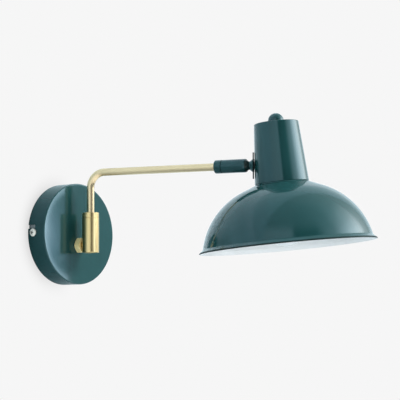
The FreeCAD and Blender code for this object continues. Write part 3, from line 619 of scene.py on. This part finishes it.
def plate_mesh(name, m, half, nose, z0, z1, bore, soft):
    """An oblong plate with round ends, softened edges and a round hole; its
    length runs along the local x axis."""
    bm = bmesh.new()
    n = 160

    def edge(inset):
        pts, r = [], nose - inset
        straight = half - nose
        for k in range(n):
            w = 2 * math.pi * k / n
            c = math.cos(w)
            pts.append((r * c + (straight if c > 1e-9 else -straight if c < -1e-9 else 0.0), r * math.sin(w)))
        return pts

    def hole():
        return [(bore * math.cos(2 * math.pi * k / n), bore * math.sin(2 * math.pi * k / n)) for k in range(n)]

    rows = [(hole(), z0), (edge(soft), z0), (edge(soft * 0.3), z0 + soft * 0.3), (edge(0), z0 + soft), (edge(0), z1 - soft),
            (edge(soft * 0.3), z1 - soft * 0.3), (edge(soft), z1), (hole(), z1)]
    rings = [[bm.verts.new(m @ (Vector((x, y, z)) * MM)) for x, y in pts] for pts, z in rows]
    for i in range(len(rings)):
        a, b = rings[i], rings[(i + 1) % len(rings)]
        for k in range(n):
            k2 = (k + 1) % n
            bm.faces.new((a[k], a[k2], b[k2], b[k]))
    bmesh.ops.recalc_face_normals(bm, faces=bm.faces)
    mesh = bpy.data.meshes.new(name)
    bm.to_mesh(mesh)
    bm.free()
    return mesh


# painted shade: the whole fixing plate takes the dark finish, which stands in for the shade on it
finish_piece("fixing_plate", plate_mesh("fixing_plate", AT_STUD, 15.2, 3.6, 9.3, 10.8, 2.63, 0.25), [PAINTED_SHADE_FINISH], "stud",
             ["mounting_plate"], 40.0)
finish_piece("plate_washer", lathe_mesh("plate_washer", AT_STUD, soften([
    (2.65, 10.82, 0, 0), (7.4, 10.82, 0.1, 0), (7.4, 11.22, 0.1, 0), (2.65, 11.22, 0, 0)]), 96), [FIBRE], "stud",
    ["seat_washer"], 34.0)

# ------------------------------------------------------------------ neck and finial
neck = lathe_mesh("neck_skin", HEAD, soften([
    (30.8, 0.0, 0.15, 0), (25.4, 68.9, 0.9, 1), (5.2, 68.9, 0, 1), (5.2, 67.4, 0, 1), (23.9, 67.4, 0.4, 1),
    (29.3, 0.0, 0, 1)]), 224)
for poly in neck.polygons:      # the flat top is lacquered too
    if (HEAD.inverted() @ poly.center).z > 68.0 * MM:
        poly.material_index = 0
hole = place(BALL, STUD, -UP)
neck = cut(neck, [prism_mesh("tool", hole, circle(0, 0, 4.6), 9.0, 20.0)])
finish_piece("neck_skin", neck, [GREEN, PRIMER], "head", ["neck"])

finial = [(5.05, 0.0, 0, 0), (9.1, 0.0, 0.25, 0), (9.1, 1.6, 0, 0)] + arc(0, 2.0, 9.1, 0, 86, 20)
finial += [(0.0, 11.1, 0, 0), (0.0, 7.2, 0, 0), (5.05, 7.2, 0, 0)]
finish_piece("finial", lathe_mesh("finial", TOP, soften(finial), 128), [GREEN], "head", ["finial_nut"])

# ------------------------------------------------------------------ dome shade
CX, CZ, RA = 14.31571, -85.05075, 84.02611
a_top = math.degrees(math.atan2(-7.13 - CZ, 45.76 - CX))
a_low = math.degrees(math.atan2(-66.2 - CZ, 96.2 - CX))
slope = math.atan2(7.13 - 1.15, 45.76 - 31.1)
sx, sy = math.sin(slope), math.cos(slope)
dome = [(14.3, 0.0, 0, 0), (30.3, 0.0, 0.4, 0), (31.1, -1.15, 0.4, 0), (38.2, -1.15 - 7.1 * math.tan(slope), 0, 0)]
dome += arc(CX, CZ, RA, a_top, a_low, 44)
# painted shade: the last part of the lip's flare and its rounded edge take the dark finish (material 2), which stands
# in for the shade there
dome += [(96.65, -67.9, 0.8, 0), (97.5, -69.0, 0.8, 0), (100.1, -71.25, 0, 2)]
dome += arc(100.577, -72.493, 0.65, 49.4, -70.0, 10, 2)
dome += arc(100.577, -72.493, 0.65, -85.0, -130.6, 4, 1)
dome += [(96.654, -69.987, 0.8, 1), (95.75, -68.7, 0.8, 1)]
dome += [(p[0], p[1], 0, 1) for p in arc(CX, CZ, RA - 1.0, a_low, a_top, 44)]
dome += [(31.1 - sx, -1.15 - sy, 0, 1), (29.9, -1.0, 0, 1), (14.3, -1.0, 0, 1)]
finish_piece("dome_shade", lathe_mesh("dome_shade", HEAD, soften(dome), 320), [GREEN, WHITE, PAINTED_SHADE_FINISH], "head", ["dome"],
             40.0)


# ------------------------------------------------------------------ lampholder ring and bulb
def ribs(w, r, z):
    if r < 17.0:
        return r
    return r - 0.45 * (0.5 + 0.5 * math.cos(24 * w)) ** 2


finish_piece("clamp_ring", lathe_mesh("clamp_ring", HEAD, soften([
    (14.05, -7.1, 0, 0), (17.2, -7.1, 0.5, 0), (19.0, -5.5, 0.5, 0), (19.0, -1.1, 0.3, 0), (14.05, -1.1, 0, 0)]),
    240, ribs), [HOLDER], "head", ["shade_ring"], 40.0)

globe = arc(0, -49.8, 22.5, -90, 45, 40)
globe[0] = (0.0, -72.3, 0, 0)
globe += [(12.9, -30.9, 0, 0), (11.0, -28.6, 0, 0), (9.9, -26.6, 0, 0), (9.3, -24.2, 0, 0), (9.0, -20.7, 0, 0), (7.2, -20.7, 0, 0),
          (7.6, -25.0, 0, 0)]
globe += arc(0, -49.8, 21.5, 48, -90, 30)
globe[-1] = (0.0, -71.3, 0, 0)
finish_piece("opal_bulb", lathe_mesh("opal_bulb", HEAD, soften(globe), 160), [OPAL], "head", ["bulb_glass"],
             40.0)

# ------------------------------------------------------------------ carried-over solids
for word, look in CAD_LOOKS.items():
    data = NODES[word].data
    data.materials.clear()
    data.materials.append(look)
    for poly in data.polygons:
        poly.material_index = 0


# ------------------------------------------------------------------ stage
def grey(v):
    return (v, v, v, 1)


def times(nt, a, b, kind="MULTIPLY", fac=None):
    m = node(nt, "ShaderNodeMix", data_type="RGBA", blend_type=kind)
    m.inputs["Factor"].default_value = 1.0
    if fac is not None:
        nt.links.new(fac, m.inputs["Factor"])
    nt.links.new(a, m.inputs["A"])
    nt.links.new(b, m.inputs["B"])
    return m.outputs["Result"]


def add(nt, a, b):
    n = node(nt, "ShaderNodeAddShader")
    nt.links.new(a, n.inputs[0])
    nt.links.new(b, n.inputs[1])
    return n.outputs[0]


def front_only(nt, shader):
    """The shader on the front of a sheet, nothing on its back."""
    out = node(nt, "ShaderNodeOutputMaterial")
    t = node(nt, "ShaderNodeBsdfTransparent")
    g = node(nt, "ShaderNodeNewGeometry")
    mix = node(nt, "ShaderNodeMixShader")
    nt.links.new(g.outputs["Backfacing"], mix.inputs[0])
    nt.links.new(shader, mix.inputs[1])
    nt.links.new(t.outputs[0], mix.inputs[2])
    nt.links.new(mix.outputs[0], out.inputs["Surface"])


def empty_material(name):
    m = bpy.data.materials.new(name)
    m.use_nodes = True
    m.node_tree.nodes.clear()
    return m, m.node_tree


def plain_light(nt, value):
    e = node(nt, "ShaderNodeEmission")
    e.inputs["Color"].default_value = grey(value)
    return e


def for_picture(nt, picture, rest):
    """One shader in the picture, another for the light on the object."""
    lp = node(nt, "ShaderNodeLightPath")
    pick = node(nt, "ShaderNodeMixShader")
    nt.links.new(lp.outputs["Is Camera Ray"], pick.inputs[0])
    nt.links.new(rest, pick.inputs[1])
    nt.links.new(picture, pick.inputs[2])
    return pick.outputs[0]


def wall_material():
    """A plain pale wall with a soft contact shadow on the left of the plate.
    The light that it sends back is dim close to the plate and is painted to change with height, dimmest low down."""
    m, nt = empty_material("pale_wall")
    tc = node(nt, "ShaderNodeTexCoord")
    sep = node(nt, "ShaderNodeSeparateXYZ")
    nt.links.new(tc.outputs["Object"], sep.inputs[0])
    ao = node(nt, "ShaderNodeAmbientOcclusion", samples=24)
    ao.inputs["Distance"].default_value = 0.036
    shade = ramp(nt, ao.outputs["AO"], [(0.50, grey(0.69)), (0.58, grey(0.745)), (0.68, grey(0.83)), (0.75, grey(0.875)),
                                        (0.81, grey(0.91)), (0.86, grey(0.922))])
    left = ramp(nt, spread(nt, sep.outputs["X"], 0.0, 1.0, -0.06, 0.04), [(0.2, grey(0.0)), (0.75, grey(1.0))])
    clear = node(nt, "ShaderNodeMix", data_type="RGBA", blend_type="MIX")
    nt.links.new(left, clear.inputs["Factor"])
    nt.links.new(shade, clear.inputs["A"])
    clear.inputs["B"].default_value = grey(0.922)
    shown = node(nt, "ShaderNodeEmission")
    nt.links.new(clear.outputs["Result"], shown.inputs["Color"])
    far = node(nt, "ShaderNodeVectorMath", operation="DISTANCE")
    far.inputs[1].default_value = (-0.13, 0.0, 0.0)
    nt.links.new(tc.outputs["Object"], far.inputs[0])
    near = ramp(nt, far.outputs["Value"], [(0.05, grey(0.5)), (0.17, grey(1.0))])
    tall = ramp(nt, spread(nt, sep.outputs["Z"], 0.0, 1.0, -0.6, 0.8), [
        (0.0, (0.20, 0.23, 0.25, 1)), (0.13, (0.10, 0.12, 0.13, 1)), (0.25, (0.26, 0.31, 0.33, 1)), (0.36, (0.44, 0.53, 0.57, 1)),
        (0.66, (0.47, 0.55, 0.59, 1)), (0.77, (0.61, 0.67, 0.72, 1)), (0.88, (0.45, 0.53, 0.57, 1))])
    d = node(nt, "ShaderNodeBsdfDiffuse")
    nt.links.new(times(nt, tall, near), d.inputs["Color"])
    front_only(nt, for_picture(nt, shown.outputs[0], d.outputs[0]))
    return m


def floor_material():
    m, nt = empty_material("pale_floor")
    d = node(nt, "ShaderNodeBsdfDiffuse")
    d.inputs["Color"].default_value = (0.40, 0.42, 0.43, 1)
    front_only(nt, for_picture(nt, plain_light(nt, 0.88).outputs[0], add(nt, d.outputs[0], plain_light(nt, 0.56).outputs[0])))
    return m


def sheet(name, corners, mat):
    mesh = bpy.data.meshes.new(name)
    mesh.from_pydata(corners, [], [(0, 1, 2, 3)])
    mesh.uv_layers.new(name="flat")
    for k, uv in enumerate(((0, 0), (1, 0), (1, 1), (0, 1))):
        mesh.uv_layers["flat"].data[k].uv = uv
    mesh.materials.append(mat)
    obj = bpy.data.objects.new(name, mesh)
    SCENE.collection.objects.link(obj)
    obj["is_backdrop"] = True
    return obj


LOW = -2.6


def open_wall(name, radius, half, mat):
    """The wall, with a round opening for the supply behind the plate."""
    y, n = 0.0006, 64
    pts = []
    for k in range(n):
        w = 2 * math.pi * k / n
        c, s = math.cos(w), math.sin(w)
        far = half / max(abs(c), abs(s))
        pts += [(radius * c, y, radius * s), (far * c, y, far * s)]
    faces = [(2 * k, 2 * k + 1, (2 * k + 3) % (2 * n), (2 * k + 2) % (2 * n)) for k in range(n)]
    for x0, x1, z0, z1 in ((-6, -half, LOW, 5), (half, 6, LOW, 5), (-half, half, LOW, -half), (-half, half, half, 5)):
        at = len(pts)
        pts += [(x0, y, z0), (x1, y, z0), (x1, y, z1), (x0, y, z1)]
        faces.append((at, at + 1, at + 2, at + 3))
    mesh = bpy.data.meshes.new(name)
    mesh.from_pydata(pts, [], faces)
    mesh.materials.append(mat)
    obj = bpy.data.objects.new(name, mesh)
    SCENE.collection.objects.link(obj)
    obj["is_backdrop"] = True
    if any(p.normal.y > 0 for p in mesh.polygons):
        mesh.flip_normals()
    return obj


open_wall("backdrop", 0.055, 0.1, wall_material())
sheet("floor", [(-6, 0.0006, LOW), (-6, -8, LOW), (6, -8, LOW), (6, 0.0006, LOW)], floor_material())

def low_box(name, ends, z0, z1, strength, along, upright, pieces, ring=None):
    """A soft card that stands between ends and is flagged off from all but the
    pieces named. Its brightness runs along and upright; ring is a brighter
    arc on it, as (centre, stops by distance in decimetres)."""
    m, nt = empty_material(name)
    tc = node(nt, "ShaderNodeTexCoord")
    sep = node(nt, "ShaderNodeSeparateXYZ")
    nt.links.new(tc.outputs["UV"], sep.inputs[0])
    tone = times(nt, ramp(nt, sep.outputs["X"], along), ramp(nt, sep.outputs["Y"], upright))
    if ring:
        far = node(nt, "ShaderNodeVectorMath", operation="DISTANCE")
        far.inputs[1].default_value = ring[0]
        nt.links.new(tc.outputs["Object"], far.inputs[0])
        tone = times(nt, tone, ramp(nt, spread(nt, far.outputs["Value"], 0.0, 1.0, 0.0, 0.1), ring[1]), "ADD")
    e = node(nt, "ShaderNodeEmission")
    e.inputs["Strength"].default_value = strength
    nt.links.new(tone, e.inputs["Color"])
    t = node(nt, "ShaderNodeBsdfTransparent")
    front_only(nt, add(nt, e.outputs[0], t.outputs[0]))
    (xa, ya), (xb, yb) = ends
    box = sheet(name, [(xa, ya, z0), (xb, yb, z0), (xb, yb, z1), (xa, ya, z1)], m)
    box.visible_camera = False
    box.visible_diffuse = False
    lit = bpy.data.collections.new(name + "_lights")
    for word in pieces:
        lit.objects.link(bpy.data.objects[word])
    box.light_linking.receiver_collection = lit
    return box


# a soft card for the plate and one for the pivot
low_box("plate_card", ((0.090, -0.13), (0.002, -0.13)), -0.062, 0.082, 6.8, [
    (0.0, (0.06, 0.08, 0.10, 1)), (0.12, (0.10, 0.13, 0.165, 1)), (0.29, (0.19, 0.23, 0.30, 1)),
    (0.375, (0.34, 0.38, 0.46, 1)), (0.43, (0.54, 0.58, 0.64, 1)), (0.49, (0.60, 0.64, 0.70, 1)), (0.8, grey(0.6)), (1.0, grey(0.0))],
    [(0.0, grey(0.3)), (0.12, grey(0.5)), (0.25, grey(0.72)), (0.38, grey(1.0)), (0.55, grey(1.0)), (0.76, grey(0.45)), (1.0, grey(0.25))],
    ["canopy_shell"], ((0.1063, -0.13, 0.0085), [(0.55, grey(0.0)), (0.58, (0.42, 0.46, 0.5, 1)), (0.61, (0.66, 0.7, 0.74, 1)), (0.70, grey(0.6)),
                                                 (0.85, grey(0.0))]))
low_box("pivot_card", ((0.045, -0.150), (-0.055, -0.140)), -0.055, 0.06, 2.75, [
    (0.0, (0.36, 0.42, 0.50, 1)), (0.25, (0.72, 0.85, 1.0, 1)), (0.42, (0.45, 0.53, 0.62, 1)), (0.56, (0.16, 0.18, 0.20, 1)),
    (0.8, grey(0.06)), (1.0, grey(0.0))],
    [(0.0, grey(0.0)), (0.15, grey(0.9)), (0.4, grey(1.0)), (0.8, grey(0.9)), (1.0, grey(0.0))],
    ["pivot_sleeve_skin", "pivot_cap"])

# ------------------------------------------------------------------ soft studio light
world = bpy.data.worlds.new("studio")
SCENE.world = world
world.use_nodes = True
nt = world.node_tree
nt.nodes.clear()
out = node(nt, "ShaderNodeOutputWorld")
tc = node(nt, "ShaderNodeTexCoord")
sep = node(nt, "ShaderNodeSeparateXYZ")
nt.links.new(tc.outputs["Generated"], sep.inputs[0])
neg = node(nt, "ShaderNodeMath", operation="MULTIPLY")
neg.inputs[1].default_value = -1.0
nt.links.new(sep.outputs["Y"], neg.inputs[0])
az = node(nt, "ShaderNodeMath", operation="ARCTAN2")
nt.links.new(sep.outputs["X"], az.inputs[0])
nt.links.new(neg.outputs[0], az.inputs[1])
azn = node(nt, "ShaderNodeMapRange")
azn.inputs["From Min"].default_value = -math.pi
azn.inputs["From Max"].default_value = math.pi
nt.links.new(az.outputs[0], azn.inputs["Value"])


def by_azimuth(stops):
    return ramp(nt, azn.outputs["Result"], [((a + 180.0) / 360.0, (v * 0.22, v * 0.245, v * 0.25, 1)) for a, v in stops])


def from_height(a, b):
    """0 below elevation a, 1 above elevation b."""
    n = node(nt, "ShaderNodeMapRange")
    n.inputs["From Min"].default_value = math.sin(math.radians(a))
    n.inputs["From Max"].default_value = math.sin(math.radians(b))
    nt.links.new(sep.outputs["Z"], n.inputs["Value"])
    return n.outputs["Result"]


# room tone by direction: level, high, overhead and below; slightly cool
level = by_azimuth([(-180, 1.05), (-105, 1.05), (-75, 1.25), (-52, 1.32), (-47, 0.04), (-15, 0.10), (-5, 0.4), (5, 0.6),
                    (46, 0.62), (90, 0.62), (180, 0.62)])
upper = by_azimuth([(-180, 0.53), (-60, 0.56), (-40, 0.42), (-15, 0.58), (0, 0.7), (30, 0.72), (60, 0.7), (90, 0.7), (180, 0.55)])
above = by_azimuth([(-180, 0.54), (0, 0.58), (45, 0.75), (90, 0.65), (180, 0.54)])
below = by_azimuth([(-180, 0.75), (0, 0.72), (60, 0.78), (180, 0.75)])
room = times(nt, level, upper, "MIX", from_height(34, 48))
room = times(nt, room, above, "MIX", from_height(60, 76))
room = times(nt, below, room, "MIX", from_height(-38, -18))
bg = node(nt, "ShaderNodeBackground")
bg.inputs["Strength"].default_value = 4.0
nt.links.new(room, bg.inputs["Color"])
# the large soft box, front right
rise = node(nt, "ShaderNodeMapRange")
rise.inputs["From Min"].default_value = -1.0
rise.inputs["From Max"].default_value = 1.0
nt.links.new(sep.outputs["Z"], rise.inputs["Value"])
high = ramp(nt, rise.outputs["Result"], [((math.sin(math.radians(a)) + 1.0) / 2.0, grey(v)) for a, v in (
    (5.5, 0.0), (9, 0.65), (12, 1.0), (20, 1.0), (26, 0.8), (37, 0.38), (52, 0.08), (66, 0.02), (80, 0.0))])
wide = ramp(nt, azn.outputs["Result"], [((a + 180.0) / 360.0, grey(v)) for a, v in (
    (-12, 0.0), (0, 0.14), (15, 0.26), (30, 0.74), (45, 1.0), (60, 0.88), (70, 0.60), (77, 0.21), (90, 0.05), (105, 0.0))])
box = node(nt, "ShaderNodeBackground")
box.inputs["Strength"].default_value = 6.7
nt.links.new(times(nt, wide, high), box.inputs["Color"])
both = node(nt, "ShaderNodeAddShader")
nt.links.new(bg.outputs[0], both.inputs[0])
nt.links.new(box.outputs[0], both.inputs[1])
plain = node(nt, "ShaderNodeBackground")
plain.inputs["Color"].default_value = grey(0.922)
lp = node(nt, "ShaderNodeLightPath")
mix = node(nt, "ShaderNodeMixShader")
nt.links.new(lp.outputs["Is Camera Ray"], mix.inputs[0])
nt.links.new(both.outputs[0], mix.inputs[1])
nt.links.new(plain.outputs[0], mix.inputs[2])
nt.links.new(mix.outputs[0], out.inputs["Surface"])

# key light from the upper right, through a large diffuser
data = bpy.data.lights.new("key", "SUN")
data.energy = 4.0
data.angle = math.radians(28.0)
key = bpy.data.objects.new("key", data)
SCENE.collection.objects.link(key)
towards = Vector((math.sin(math.radians(38)) * math.cos(math.radians(45)), -math.cos(math.radians(38)) * math.cos(math.radians(45)),
                  math.sin(math.radians(45))))
key.rotation_euler = towards.to_track_quat("Z", "Y").to_euler()
key.visible_glossy = False

SCENE.view_settings.view_transform = "Standard"
SCENE.view_settings.look = "None"

# ------------------------------------------------------------------ camera
yaw, pitch, roll = math.radians(-51.492), math.radians(4.562), math.radians(-0.26)
ahead = Vector((-math.sin(yaw) * math.cos(pitch), math.cos(yaw) * math.cos(pitch), math.sin(pitch)))
right = Vector((math.cos(yaw), math.sin(yaw), 0))
over = right.cross(ahead)
r2 = right * math.cos(roll) + over * math.sin(roll)
u2 = over * math.cos(roll) - right * math.sin(roll)
turn = Matrix((r2, u2, -ahead)).transposed().to_4x4()
turn.translation = Vector((-1.301685, -1.245435, -0.101878))
data = bpy.data.cameras.new("camera")
data.sensor_fit = "HORIZONTAL"
data.sensor_width = 36.0
data.lens = 1495.442 / 400.0 * 36.0
data.clip_start, data.clip_end = 0.05, 60.0
camera = bpy.data.objects.new("camera", data)
camera.matrix_world = turn
SCENE.collection.objects.link(camera)
SCENE.camera = camera

low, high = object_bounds()
